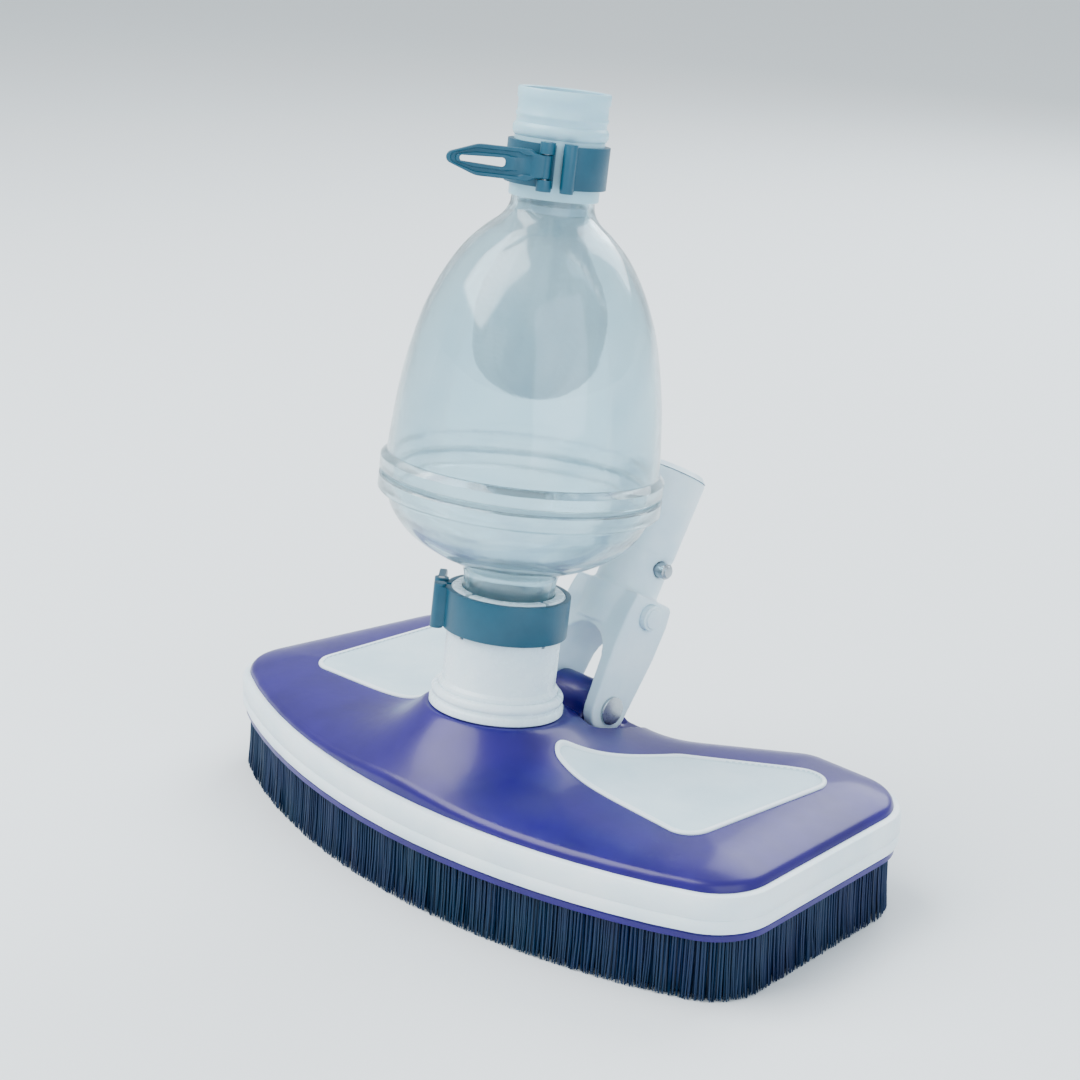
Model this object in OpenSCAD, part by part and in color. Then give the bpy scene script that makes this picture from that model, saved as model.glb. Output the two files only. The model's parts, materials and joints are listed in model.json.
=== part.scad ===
// Manual pool vacuum head with a clear debris trap and a pole yoke.
// Frame: origin on the floor under the middle of the part, +X to the right,
// the long convex edge faces -Y, +Z up. Millimetres.

/* [Head] */
// Half of the head's width over the cover wall
head_half = 137; // [130:1:145]
// Distance from the origin to the middle of the front edge
head_front = 77; // [74:1:80]
// Distance from the origin to the tips of the two rear wings
head_back = 68; // [64:1:70]
// Distance from the origin to the recessed middle of the rear edge
waist_back = 36; // [34:1:38]
// Height of the bristle skirt
skirt_h = 18; // [14:1:20]
// Projection of the bumper strip in front of the cover wall
bumper_out = 3; // [2:0.5:4]

/* [Spigot and trap] */
// Backward tilt of the spigot and the trap
spigot_tilt = 6; // [4:0.5:8]
// Outer radius of the spigot tube
spigot_r = 21.5; // [21:0.1:22.5]
// Largest radius of the debris trap, over its seam collar
trap_r = 52.5; // [50:0.5:54]

/* [Yoke] */
// Backward lean of the yoke at rest, from the vertical
yoke_lean = 29.5; // [25:0.5:32]
// Radius of the shank that slides into the pole
shank_r = 13.4; // [12.5:0.1:14]
// Length of the shank above the collar
shank_len = 50; // [44:1:52]

/* [Clamps] */
// Height of a clamp band
clamp_h = 15; // [13:0.5:16]
// Length of a clamp lever from its hinge to its tip
lever_len = 36; // [30:1:38]

/* [Hidden] */
$fn = 48;

// Levels of the head
plate_z = skirt_h;
plate_t = 5;
lip_z = plate_z + plate_t;
lip_t = 3;
wall_z = lip_z + lip_t;
wall_top = 41;
// Gap between the wall and the bumper round it
strip_gap = 0.1;
// Terraces of the roof, each a height over the wall's top and an inset from the plan
terraces = [[2, 0], [3.5, 2.5], [4.8, 6.5], [5.8, 13], [6.8, 27], [7.6, 44]];
// Each terrace starts lower than the one outside it, by this share of its inset
terrace_lap = 0.04;
wall_inset = 1;
window_z = wall_top + 3.5;
window_t = 2.9;
plan_fn = 28;

// Front edge: one large arc; corners: smaller arcs
front_r = 290;
corner_r = 23;
waist_r = 30;
wing_x = 84;

// Bristles
brush_t = 9;
brush_split = 99;
brush_gap = 0.6;

// Spigot, measured along its own axis from the cover's boss
spigot_y = -26;
boss_top = 62;
spigot_bore = 17.6;
spigot_len = 46;
tail_r = 20;
tail_len = 15;
flange_r = 25.5;
flange_h = 8;
neck_seat = 20;
neck_r = 17.3;
trap_wall = 2.2;
bowl_floor = 55;
seam_s = 87;
seam_h = 7;
seal_gap = 0.3;
outlet_s = 186;
outlet_r = 15;
outlet_top = 214;
cuff_bottom = 192;
cuff_top = 230;
cuff_r = 16.3;
socket_r = 14.4;

// Clamps
band_t = 2;
clamp_pin_r = 1.2;
run_gap = 0.05;
lower_clamp_s = 38;
lower_clamp_turn = 225;
upper_clamp_s = 204;
upper_clamp_turn = 317;
hinge_out = 3.9;
hinge_side = 4.4;

// Yoke
pivot_y = 19;
pivot_z = 54;
pivot_pin_r = 4;
boss_half = 11;
leg_in = 11.4;
leg_out = 17.2;
leg_r = 10;
crotch_z = 17;
collar_z = 46;
pole_r = 15;
clip_x = 7.6;
clip_t = 1;
button_z = 39;
button_r = 4.95;
snap_z = 58;
snap_r = 3.1;
// The shank is relieved from its collar to above the snap pins
guide_z = 63;
relief = 0.4;

// Screws, ballast and suction slot
screw_xy = [[-112, -30], [112, -30], [-108, 46], [108, 46], [-52, -56], [52, -56]];
screw_r = 1.9;
screw_len = 14;
slot_half = 60;
slot_w = 24;
plenum_h = 14;

function x_scale(inset) = (head_half - inset) / head_half;
function y_scale(inset) = (head_front - inset) / head_front;

// ---- outlines -------------------------------------------------------------

// Plan of the head: convex front, nearly straight sides, hollowed rear edge
module plan_sharp() {
    difference() {
        intersection() {
            polygon([[-head_half - 3, -head_front - 5], [head_half + 3, -head_front - 5],
                [head_half + 2, -34], [head_half - 9, head_back],
                [9 - head_half, head_back], [-head_half - 2, -34]]);
            translate([0, front_r - head_front]) circle(r = front_r, $fn = 80);
        }
        polygon([[-waist_back, waist_back], [waist_back, waist_back],
            [wing_x, head_back + 6], [-wing_x, head_back + 6]]);
    }
}

module plan() {
    offset(r = -waist_r, $fn = plan_fn) offset(delta = waist_r)
        offset(r = corner_r, $fn = plan_fn) offset(delta = -corner_r) plan_sharp();
}

// One storey of the head, inset from the plan by different amounts at its two levels
module storey(z0, z1, inset0, inset1) {
    translate([0, 0, z0])
        linear_extrude(height = z1 - z0, slices = 1,
            scale = [x_scale(inset1) / x_scale(inset0), y_scale(inset1) / y_scale(inset0)])
            scale([x_scale(inset0), y_scale(inset0)]) plan();
}

// Strip round the wall that stands out from the plan
module band_2d(out) {
    inset = wall_inset - strip_gap;
    difference() {
        offset(delta = out) plan();
        scale([x_scale(inset), y_scale(inset)]) plan();
    }
}

// Column that reaches from one level to another, inset from the plan
module column(z0, z1, inset) {
    translate([0, 0, z0]) linear_extrude(height = z1 - z0)
        scale([x_scale(inset), y_scale(inset)]) plan();
}

// Rounded triangle with a slightly bowed inner edge
module window_2d(side, grow = 0) {
    scale([side, 1]) hull() {
        translate([39, -23]) circle(r = 6.5 + grow, $fn = 24);
        translate([97, -22]) circle(r = 10 + grow, $fn = 24);
        translate([98, 37]) circle(r = 10 + grow, $fn = 24);
        translate([63, 11]) circle(r = 11 + grow, $fn = 24);
    }
}

module on_spigot(s = 0) {
    translate([0, spigot_y, boss_top]) rotate([-spigot_tilt, 0, 0]) translate([0, 0, s]) children();
}

module on_yoke() {
    translate([0, pivot_y, pivot_z]) rotate([-yoke_lean, 0, 0]) children();
}

module x_rod(r, x0, x1) {
    translate([x0, 0, 0]) rotate([0, 90, 0]) cylinder(h = x1 - x0, r = r);
}

// ---- head -----------------------------------------------------------------

module window_pocket(side) {
    translate([0, 0, window_z - 0.05]) linear_extrude(height = 12) window_2d(side, 0.15);
}

module hinge_boss() {
    translate([-boss_half, pivot_y - 9, 40]) cube([2 * boss_half, 18, pivot_z - 40]);
    translate([0, pivot_y, pivot_z]) x_rod(9, -boss_half, boss_half);
    translate([-22, pivot_y - 20, 38]) cube([44, 34, 4.4]);
}

module top_cover() {
    color("#2b2a86") difference() {
        union() {
            difference() {
                union() {
                    column(lip_z, wall_z, -1.5);
                    column(lip_z, wall_top + 1, wall_inset);
                    for (t = terraces) column(wall_top - terrace_lap * t[1], wall_top + t[0], t[1]);
                }
                column(lip_z - 1, wall_top + 0.5, 4.5);
            }
            on_spigot(-17) cylinder(h = 17, r1 = 40, r2 = 28);
            hinge_boss();
            for (p = screw_xy) translate([p[0], p[1], lip_z]) cylinder(h = 20, r = 4.5);
        }
        on_spigot(-tail_len - 12) cylinder(h = tail_len + 14, r = tail_r + 0.05);
        for (side = [-1, 1]) {
            window_pocket(side);
            translate([side > 0 ? boss_half : -20, pivot_y - 13, 42.4]) cube([20 - boss_half, 40, 20]);
        }
        translate([0, pivot_y, pivot_z]) x_rod(pivot_pin_r + run_gap, -boss_half - 1, boss_half + 1);
        for (p = screw_xy) translate([p[0], p[1], lip_z - 1]) cylinder(h = 13, r = screw_r + 0.02);
    }
}

module window_plate(side) {
    color("#e9f2f6") translate([0, 0, window_z]) linear_extrude(height = window_t) window_2d(side);
}

module window_left() { window_plate(-1); }
module window_right() { window_plate(1); }

// Soft strip round the front, the sides and the wing corners
module bumper() {
    color("#f2f6f8") translate([0, 0, wall_z + 0.2]) difference() {
        union() {
            linear_extrude(height = wall_top - wall_z - 0.4) band_2d(bumper_out - 1);
            translate([0, 0, 3]) linear_extrude(height = wall_top - wall_z - 6.4) band_2d(bumper_out);
        }
        translate([-86, -20, -1]) cube([172, 120, 30]);
    }
}

module base_plate() {
    color("#1d2550") difference() {
        translate([0, 0, plate_z]) linear_extrude(height = plate_t - 0.05) offset(delta = -2) plan();
        translate([0, spigot_y, plate_z - 1]) linear_extrude(height = plate_t + 2)
            offset(r = 8) square([2 * slot_half - 16, slot_w - 16], center = true);
        for (p = screw_xy) translate([p[0], p[1], plate_z - 1]) {
            cylinder(h = plate_t + 2, r = screw_r + 0.3);
            cylinder(h = 3, r = 3.8);
        }
    }
}

// Shallow plenum over the suction slot, with a round throat up to the spigot
module suction_duct() {
    throat_s = 27;
    color("#4a5b86") difference() {
        union() {
            translate([-slot_half - 2, spigot_y - 22, lip_z]) cube([2 * slot_half + 4, 44, plenum_h]);
            on_spigot(-throat_s) cylinder(h = throat_s - tail_len - 0.1, r = tail_r - 0.1);
        }
        translate([-slot_half, spigot_y - 20, lip_z - 1]) cube([2 * slot_half, 40, plenum_h - 1]);
        on_spigot(-throat_s - 2) cylinder(h = throat_s, r = spigot_bore - 2.2);
    }
}

module ballast(side) {
    color("#6d7276") translate([side * 91, -2, lip_z]) {
        translate([-22, -21, 0]) cube([44, 41, 9]);
        translate([0, -2, 9]) cylinder(h = 3, r = 6);
    }
}

module ballast_left() { ballast(-1); }
module ballast_right() { ballast(1); }

module cover_screws() {
    color("#b9bec2") for (p = screw_xy) translate([p[0], p[1], plate_z + 0.4]) {
        cylinder(h = 1.6, r = 3.4);
        cylinder(h = screw_len, r = screw_r);
    }
}

// ---- bristle skirt --------------------------------------------------------

module skirt() {
    difference() {
        storey(0, skirt_h - 0.05, -1, 2);
        translate([0, 0, -1]) linear_extrude(height = skirt_h + 2) offset(delta = -2 - brush_t) plan();
    }
}

module brush(x0, x1, y0, y1) {
    color("#10244d") intersection() {
        skirt();
        translate([x0, y0, -1]) cube([x1 - x0, y1 - y0, skirt_h + 2]);
    }
}

module brush_front() { brush(brush_gap - brush_split, brush_split - brush_gap, -100, -20); }
module brush_back() { brush(brush_gap - brush_split, brush_split - brush_gap, 0, 100); }
module brush_left() { brush(-160, -brush_split, -100, 100); }
module brush_right() { brush(brush_split, 160, -100, 100); }

// ---- spigot and trap ------------------------------------------------------

module spigot() {
    color("#e4eef2") difference() {
        on_spigot() rotate_extrude($fn = 96) polygon([[spigot_bore - 2.2, -tail_len], [tail_r, -tail_len],
            [tail_r, 0.1], [spigot_r + 1.2, 0.1], [spigot_r + 1.2, flange_h + 1.5], [spigot_r, flange_h + 2.7],
            [spigot_r, spigot_len - 0.8], [spigot_r - 0.8, spigot_len], [spigot_bore, spigot_len],
            [spigot_bore, 26.4], [spigot_bore + 1.3, 26.4], [spigot_bore + 1.3, 23.4],
            [spigot_bore, 23.4], [spigot_bore, neck_seat], [spigot_bore - 2.2, neck_seat]]);
        for (turn = [0 : 90 : 270])
            on_spigot(29) rotate([0, 0, turn]) translate([10, -0.9, 0]) cube([14, 1.8, 30]);
    }
}

// Stepped collar that locks the spigot on the cover's boss
module spigot_ring() {
    color("#f0f5f7") on_spigot() rotate_extrude($fn = 96) polygon([[spigot_r + 1.25, 0.1], [flange_r, 0.1],
        [flange_r, 3], [flange_r - 0.9, 3.6], [flange_r - 0.9, 4.6], [flange_r - 0.3, 5.2],
        [flange_r - 0.3, flange_h - 1.2], [flange_r - 1.5, flange_h], [spigot_r + 1.25, flange_h]]);
}

module neck_seal() {
    color("#22282c") on_spigot(23.6) difference() {
        cylinder(h = 2.6, r = spigot_bore + 1.25);
        translate([0, 0, -1]) cylinder(h = 5, r = neck_r + 0.02);
    }
}

module trap_bowl() {
    color("#bfe4ee", 0.45) on_spigot() rotate_extrude($fn = 96) polygon([
        [neck_r - trap_wall, neck_seat + 0.1], [neck_r, neck_seat + 0.1], [neck_r, bowl_floor - 4],
        [neck_r + 3, bowl_floor], [31, 59.5], [41, 66], [47, 73], [trap_r - 3, seam_s - seam_h],
        [trap_r, seam_s - seam_h + 1.2], [trap_r, seam_s], [trap_r - 6, seam_s],
        [trap_r - 6, seam_s - 3], [trap_r - 5.4, seam_s - seam_h - 0.5], [44.6, 74.2], [39.2, 68],
        [30, 62], [neck_r + 2, bowl_floor + 2.8], [neck_r - trap_wall, bowl_floor - 2.2]]);
}

module seam_seal() {
    color("#2a3338") on_spigot(seam_s) difference() {
        cylinder(h = 1.2, r = trap_r - 2.2, $fn = 96);
        translate([0, 0, -1]) cylinder(h = 4, r = trap_r - 5, $fn = 96);
    }
}

module trap_dome() {
    color("#c8e8f0", 0.4) on_spigot() rotate_extrude($fn = 96) polygon([
        [trap_r - 6, seam_s + 1.2 + seal_gap], [trap_r, seam_s + 1.2 + seal_gap],
        [trap_r, seam_s + seam_h], [trap_r - 2.2, seam_s + seam_h + 1.6], [49.7, 106], [48.4, 120],
        [46, 134], [42.5, 148], [37.2, 161], [30, 172.5], [22.5, 180.5], [17.5, 184.5],
        [outlet_r, outlet_s + 2], [outlet_r, outlet_top], [outlet_r - trap_wall, outlet_top],
        [outlet_r - trap_wall, outlet_s], [16, 183], [21, 178.8], [28.3, 171], [35.2, 160],
        [40.3, 147.3], [43.8, 133.6], [46.2, 119.8], [47.5, 105.8], [47.8, 97],
        [trap_r - 6, seam_s + seam_h]]);
}

module bag_ring() {
    color("#dfe7ea") on_spigot(outlet_s + 0.5) difference() {
        cylinder(h = 3, r = outlet_r - trap_wall - 0.05);
        translate([0, 0, -1]) cylinder(h = 6, r = 10.6);
    }
}

// Fine mesh bag that hangs from the outlet inside the trap
module debris_bag() {
    color("#eef6f8", 0.6) on_spigot() rotate_extrude() polygon([[0, 118], [9, 119.5], [17, 124],
        [22.5, 131], [25, 140], [25, 150], [22.5, 160], [18, 170], [13.6, 179], [12.4, outlet_s + 0.4],
        [10.8, outlet_s + 0.4], [12, 178.6], [16.6, 169], [21, 159.6], [23.5, 150], [23.5, 140.2],
        [21.2, 132], [16.2, 125.5], [8.6, 121.2], [0, 119.8]]);
}

module hose_cuff() {
    color("#d5edf3", 0.7) on_spigot() rotate_extrude() polygon([[outlet_r + 0.05, cuff_bottom],
        [cuff_r, cuff_bottom], [cuff_r, 213.5], [cuff_r + 0.9, 214.6], [cuff_r + 0.9, 217],
        [cuff_r, 218], [cuff_r + 0.4, cuff_top], [socket_r, cuff_top], [socket_r, outlet_top + 0.05],
        [outlet_r + 0.05, outlet_top + 0.05]]);
}

// ---- clamps: each lies round the spigot's axis, its hinge on the local +X side --------------

module on_clamp(s, turn) {
    on_spigot(s) rotate([0, 0, turn]) children();
}

module clamp_band(r) {
    ear_h = 4;
    difference() {
        union() {
            translate([0, 0, -clamp_h / 2]) cylinder(h = clamp_h, r = r + band_t, $fn = 96);
            translate([r + 0.6, 1.3, -clamp_h / 2]) cube([hinge_out - 0.6, 5, clamp_h]);
            translate([r + hinge_out, 3.7, -clamp_h / 2 - 1]) cylinder(h = clamp_h + 2, r = 2.4);
            for (z = [-clamp_h / 2 - 1, clamp_h / 2 + 1 - ear_h]) {
                translate([r + hinge_out, -hinge_side, z]) cylinder(h = ear_h, r = 2.7);
                translate([r, -hinge_side - 1.6, z + 1]) cube([hinge_out, 4.3, ear_h - 2]);
            }
        }
        translate([0, 0, -clamp_h]) cylinder(h = 2 * clamp_h, r = r, $fn = 96);
        translate([0, -1.3, -clamp_h]) cube([r + 12, 2.6, 2 * clamp_h]);
        translate([r + hinge_out, -hinge_side, -clamp_h]) cylinder(h = 2 * clamp_h, r = clamp_pin_r + 0.02);
    }
}

module clamp_pin(r) {
    translate([r + hinge_out, -hinge_side, -clamp_h / 2 - 1]) cylinder(h = clamp_h + 2, r = clamp_pin_r);
}

// Flat loop lever: a barrel, a straight arm, and a pointed loop with a long slot
module clamp_lever(r) {
    half_barrel = clamp_h / 2 - 3.3;
    barrel_r = 2;
    arm_half = 5.6;
    translate([r + hinge_out, -hinge_side, 0]) difference() {
        union() {
            translate([0, 0, -half_barrel]) cylinder(h = 2 * half_barrel, r = barrel_r);
            translate([barrel_r, 0, 0]) rotate([0, -90, 0]) linear_extrude(height = 2.8) polygon([
                [-half_barrel, 0], [half_barrel, 0], [half_barrel, -3.2], [arm_half, -5],
                [arm_half, -lever_len + 12], [2.4, -lever_len + 1.2], [0, -lever_len],
                [-2.4, -lever_len + 1.2], [-arm_half, -lever_len + 12], [-arm_half, -5],
                [-half_barrel, -3.2]]);
        }
        translate([-5, -lever_len + 6, -1.4]) cube([10, 13, 2.8]);
        translate([0, 0, -clamp_h]) cylinder(h = 2 * clamp_h, r = clamp_pin_r + run_gap);
    }
}

lower_r = spigot_r + 0.05;
upper_r = cuff_r + 0.1;

module lower_clamp_band() { color("#3f6a78") on_clamp(lower_clamp_s, lower_clamp_turn) clamp_band(lower_r); }
module lower_clamp_pin() { color("#c2c8cb") on_clamp(lower_clamp_s, lower_clamp_turn) clamp_pin(lower_r); }
module lower_clamp_lever() { color("#35606f") on_clamp(lower_clamp_s, lower_clamp_turn) clamp_lever(lower_r); }
module upper_clamp_band() { color("#3f6a78") on_clamp(upper_clamp_s, upper_clamp_turn) clamp_band(upper_r); }
module upper_clamp_pin() { color("#c2c8cb") on_clamp(upper_clamp_s, upper_clamp_turn) clamp_pin(upper_r); }
module upper_clamp_lever() { color("#35606f") on_clamp(upper_clamp_s, upper_clamp_turn) clamp_lever(upper_r); }

// ---- yoke -----------------------------------------------------------------

// Side view of the yoke, across the hinge: a round foot that widens to the body
module yoke_side_2d() {
    circle(r = leg_r);
    polygon([[-leg_r, 0], [leg_r, 0], [12.5, 24], [12.5, 38], [11, collar_z], [-11, collar_z], [-12.5, 38],
        [-12.5, 24]]);
}

module yoke() {
    color("#dce9ee") on_yoke() difference() {
        union() {
            translate([-leg_out, 0, 0]) rotate([90, 0, 90]) linear_extrude(height = 2 * leg_out) yoke_side_2d();
            translate([0, 0, 30]) cylinder(h = collar_z - 30, r = pole_r);
            translate([0, 0, collar_z - 1]) cylinder(h = shank_len + 1, r = shank_r - relief);
            translate([0, 0, guide_z]) cylinder(h = collar_z + shank_len - guide_z, r = shank_r);
        }
        for (side = [-1, 1]) translate([side * (leg_out + 5), 0, collar_z]) rotate([0, side * -35, 0])
            translate([-5, -20, -5]) cube([10, 40, 12]);
        translate([-leg_in, -20, -20]) cube([2 * leg_in, 40, crotch_z + 20]);
        translate([0, -20, crotch_z]) rotate([-90, 0, 0]) cylinder(h = 40, r = leg_in);
        translate([0, 0, 33]) cylinder(h = collar_z + shank_len, r = 10.4);
        x_rod(pivot_pin_r + 0.02, -30, 30);
        translate([0, 0, button_z]) x_rod(button_r + run_gap, -30, 30);
        translate([0, 0, snap_z]) x_rod(snap_r + run_gap, -30, 30);
    }
}

module hinge_pin() {
    color("#c9ced1") translate([0, pivot_y, pivot_z]) {
        x_rod(pivot_pin_r, -leg_out - 0.9, leg_out + 0.1);
        x_rod(5.6, leg_out + 0.05, leg_out + 1.3);
    }
}

module hinge_cap() {
    color("#e9f0f2") translate([0, pivot_y, pivot_z]) difference() {
        x_rod(5.6, -leg_out - 1.3, -leg_out - 0.05);
        x_rod(pivot_pin_r + 0.02, -leg_out - 0.92, -leg_out + 1);
    }
}

module shank_plug() {
    color("#eef3f5") on_yoke() translate([0, 0, collar_z + shank_len - 6]) {
        cylinder(h = 6.5, r = 10.35);
        translate([0, 0, 6.02]) cylinder(h = 2, r1 = shank_r, r2 = shank_r - 2);
    }
}

// Leaf spring: a fixed bend above two legs that carry the pins and the buttons
module clip_bend() {
    color("#b4bbc0") on_yoke() translate([0, 0, 70]) rotate([90, 0, 0]) translate([0, 0, -4])
        linear_extrude(height = 8) difference() {
            union() {
                circle(r = clip_x + clip_t);
                translate([-clip_x - clip_t, -3]) square([2 * (clip_x + clip_t), 3]);
            }
            circle(r = clip_x);
            translate([-clip_x, -9]) square([2 * clip_x, 9]);
        }
}

module clip_leg(side) {
    color("#b4bbc0") on_yoke() translate([side > 0 ? clip_x : -clip_x - clip_t, -4, 34])
        cube([clip_t, 8, 32]);
}

module snap_pin(side) {
    x0 = clip_x + clip_t;
    color("#d7dcdf") on_yoke() translate([0, 0, snap_z]) scale([side, 1, 1]) {
        x_rod(snap_r, x0 + 0.02, 16.6);
        x_rod(snap_r - 0.8, 16.6, 17.4);
    }
}

module release_button(side) {
    x0 = clip_x + clip_t;
    color("#e3edf1") on_yoke() translate([0, 0, button_z]) scale([side, 1, 1]) {
        x_rod(button_r, x0 + 0.02, leg_out + 2);
        x_rod(button_r - 1, leg_out + 2, leg_out + 2.8);
    }
}

module clip_leg_left() { clip_leg(-1); }
module clip_leg_right() { clip_leg(1); }
module snap_pin_left() { snap_pin(-1); }
module snap_pin_right() { snap_pin(1); }
module release_button_left() { release_button(-1); }
module release_button_right() { release_button(1); }

top_cover();
window_left();
window_right();
bumper();
base_plate();
suction_duct();
ballast_left();
ballast_right();
cover_screws();
brush_front();
brush_back();
brush_left();
brush_right();
spigot();
spigot_ring();
neck_seal();
trap_bowl();
seam_seal();
trap_dome();
bag_ring();
debris_bag();
hose_cuff();
lower_clamp_band();
lower_clamp_pin();
lower_clamp_lever();
upper_clamp_band();
upper_clamp_pin();
upper_clamp_lever();
yoke();
hinge_pin();
hinge_cap();
shank_plug();
clip_bend();
clip_leg_left();
clip_leg_right();
snap_pin_left();
snap_pin_right();
release_button_left();
release_button_right();
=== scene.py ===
"""Manual pool vacuum head with a clear debris trap: the visual model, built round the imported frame."""

from __future__ import annotations

import json
import logging
import math
import random
from dataclasses import dataclass, field
from enum import Enum
from typing import Callable, Optional, Sequence

import bmesh
import bpy
from mathutils import Matrix, Vector

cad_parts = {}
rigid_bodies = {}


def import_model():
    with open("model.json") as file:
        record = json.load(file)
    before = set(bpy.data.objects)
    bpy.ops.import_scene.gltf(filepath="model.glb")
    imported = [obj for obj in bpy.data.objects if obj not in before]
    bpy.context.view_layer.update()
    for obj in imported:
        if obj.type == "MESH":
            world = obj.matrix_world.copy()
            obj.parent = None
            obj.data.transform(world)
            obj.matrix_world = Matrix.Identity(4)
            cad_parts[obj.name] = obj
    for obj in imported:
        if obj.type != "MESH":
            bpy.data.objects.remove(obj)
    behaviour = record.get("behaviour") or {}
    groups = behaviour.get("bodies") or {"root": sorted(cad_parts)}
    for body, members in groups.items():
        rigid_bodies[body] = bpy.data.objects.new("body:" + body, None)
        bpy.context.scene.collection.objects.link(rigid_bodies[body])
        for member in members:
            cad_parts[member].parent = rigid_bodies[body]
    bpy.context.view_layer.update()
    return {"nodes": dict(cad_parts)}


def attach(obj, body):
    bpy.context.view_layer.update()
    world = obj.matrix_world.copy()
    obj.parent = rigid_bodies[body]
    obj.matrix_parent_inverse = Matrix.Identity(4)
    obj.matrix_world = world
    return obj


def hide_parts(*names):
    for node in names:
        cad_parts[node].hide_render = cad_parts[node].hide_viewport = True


LOG = logging.getLogger("vacuum_head")
MM = 0.001
Point = tuple[float, float]
Point3 = tuple[float, float, float]

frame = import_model()


# ---- small helpers ---------------------------------------------------------


def smoothstep(low: float, high: float, value: float) -> float:
    """Ramps smoothly from 0 to 1.

    Args:
        low: where the ramp is 0; it may be above high, for a falling ramp.
        high: where the ramp is 1.
        value: the place on the ramp.

    Returns:
        The ramp's height, from 0 to 1.
    """
    t = min(max((value - low) / (high - low), 0.0), 1.0)
    return t * t * (3.0 - 2.0 * t)


def linear(hex_code: str) -> tuple[float, float, float, float]:
    """Turns an sRGB hex colour into linear RGBA.

    Args:
        hex_code: six hex digits, such as "2b2a86".

    Returns:
        The linear colour, with alpha 1.
    """
    values = [int(hex_code[i : i + 2], 16) / 255.0 for i in (0, 2, 4)]
    flat = [v / 12.92 if v <= 0.04045 else ((v + 0.055) / 1.055) ** 2.4 for v in values]
    return flat[0], flat[1], flat[2], 1.0


def curve_through(points: Sequence[Point], steps: int) -> list[Point]:
    """Draws a smooth curve through points.

    Args:
        points: the points, in order.
        steps: how many pieces each span is cut into.

    Returns:
        The points of a Catmull-Rom curve, ends included.
    """
    ends = [points[0], *points, points[-1]]
    made: list[Point] = []
    for a, b, c, d in zip(ends, ends[1:], ends[2:], ends[3:]):
        for i in range(steps):
            t = i / steps
            made.append(
                tuple(
                    0.5 * (2 * q + (r - p) * t + (2 * p - 5 * q + 4 * r - s) * t**2 + (3 * q - p - 3 * r + s) * t**3)
                    for p, q, r, s in zip(a, b, c, d)
                )
            )
    made.append(points[-1])
    return made


def fillet(corners: Sequence[tuple[float, float, float]], steps: int = 12) -> list[Point]:
    """Rounds the corners of a closed outline.

    Args:
        corners: (x, y, radius) of each corner, in order.
        steps: points on each rounded corner.

    Returns:
        The rounded outline's points.
    """
    made: list[Point] = []
    count = len(corners)
    for i, (x, y, radius) in enumerate(corners):
        here = Vector((x, y))
        before = (Vector(corners[i - 1][:2]) - here).normalized()
        after = (Vector(corners[(i + 1) % count][:2]) - here).normalized()
        if radius <= 0:
            made.append((x, y))
            continue
        half = before.angle(after) / 2
        reach = radius / math.tan(half)
        centre = here + (before + after).normalized() * (radius / math.sin(half))
        start = here + before * reach - centre
        turn = start.angle_signed(here + after * reach - centre)
        for k in range(steps + 1):
            angle = -turn * k / steps
            spun = Vector(
                (
                    start.x * math.cos(angle) - start.y * math.sin(angle),
                    start.x * math.sin(angle) + start.y * math.cos(angle),
                )
            )
            made.append((centre.x + spun.x, centre.y + spun.y))
    return made


def resample(points: Sequence[Point], pitch: float, closed: bool = True) -> list[Point]:
    """Spaces points evenly along an outline.

    Args:
        points: the outline.
        pitch: the wanted distance between points.
        closed: whether the outline's end joins its start.

    Returns:
        Evenly spaced points.
    """
    loop = [Vector(p) for p in points] + ([Vector(points[0])] if closed else [])
    lengths = [0.0]
    for a, b in zip(loop, loop[1:]):
        lengths.append(lengths[-1] + (b - a).length)
    count = max(3, round(lengths[-1] / pitch))
    made: list[Point] = []
    k = 0
    for i in range(count + (0 if closed else 1)):
        want = lengths[-1] * i / count
        while k < len(lengths) - 2 and lengths[k + 1] < want:
            k += 1
        span = lengths[k + 1] - lengths[k]
        t = 0.0 if span == 0 else (want - lengths[k]) / span
        spot = loop[k].lerp(loop[k + 1], t)
        made.append((spot.x, spot.y))
    return made


def evenly(points: Sequence[Point], count: int) -> list[Point]:
    """Spaces a given number of points evenly along a closed outline.

    Args:
        points: the outline.
        count: how many points are wanted.

    Returns:
        Evenly spaced points.
    """
    around = sum(math.dist(a, b) for a, b in zip(points, [*points[1:], points[0]]))
    return resample(points, around / count)


def normals_of(points: Sequence[Point]) -> list[Point]:
    """Finds the outward unit normals of a closed outline.

    Args:
        points: the outline, anticlockwise.

    Returns:
        One normal for each point.
    """
    made: list[Point] = []
    count = len(points)
    for i in range(count):
        along = Vector(points[(i + 1) % count]) - Vector(points[i - 1])
        along.normalize()
        made.append((along.y, -along.x))
    return made


def mesh_object(
    name: str, verts: Sequence[Point3], faces: Sequence[Sequence[int]], sharp_deg: float = 35.0
) -> bpy.types.Object:
    """Makes a smooth-shaded mesh object.

    Args:
        name: the piece's name.
        verts: the points, in millimetres.
        faces: the faces, as lists of point numbers.
        sharp_deg: edges that turn by more than this stay sharp.

    Returns:
        The new object, linked into the scene.
    """
    mesh = bpy.data.meshes.new(name)
    mesh.from_pydata([(x * MM, y * MM, z * MM) for x, y, z in verts], [], [list(f) for f in faces])
    mesh.validate()
    made = bmesh.new()
    made.from_mesh(mesh)
    bmesh.ops.recalc_face_normals(made, faces=made.faces)
    made.to_mesh(mesh)
    made.free()
    mesh.shade_smooth()
    mesh.set_sharp_from_angle(angle=math.radians(sharp_deg))
    item = bpy.data.objects.new(name, mesh)
    bpy.context.scene.collection.objects.link(item)
    return item


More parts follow.
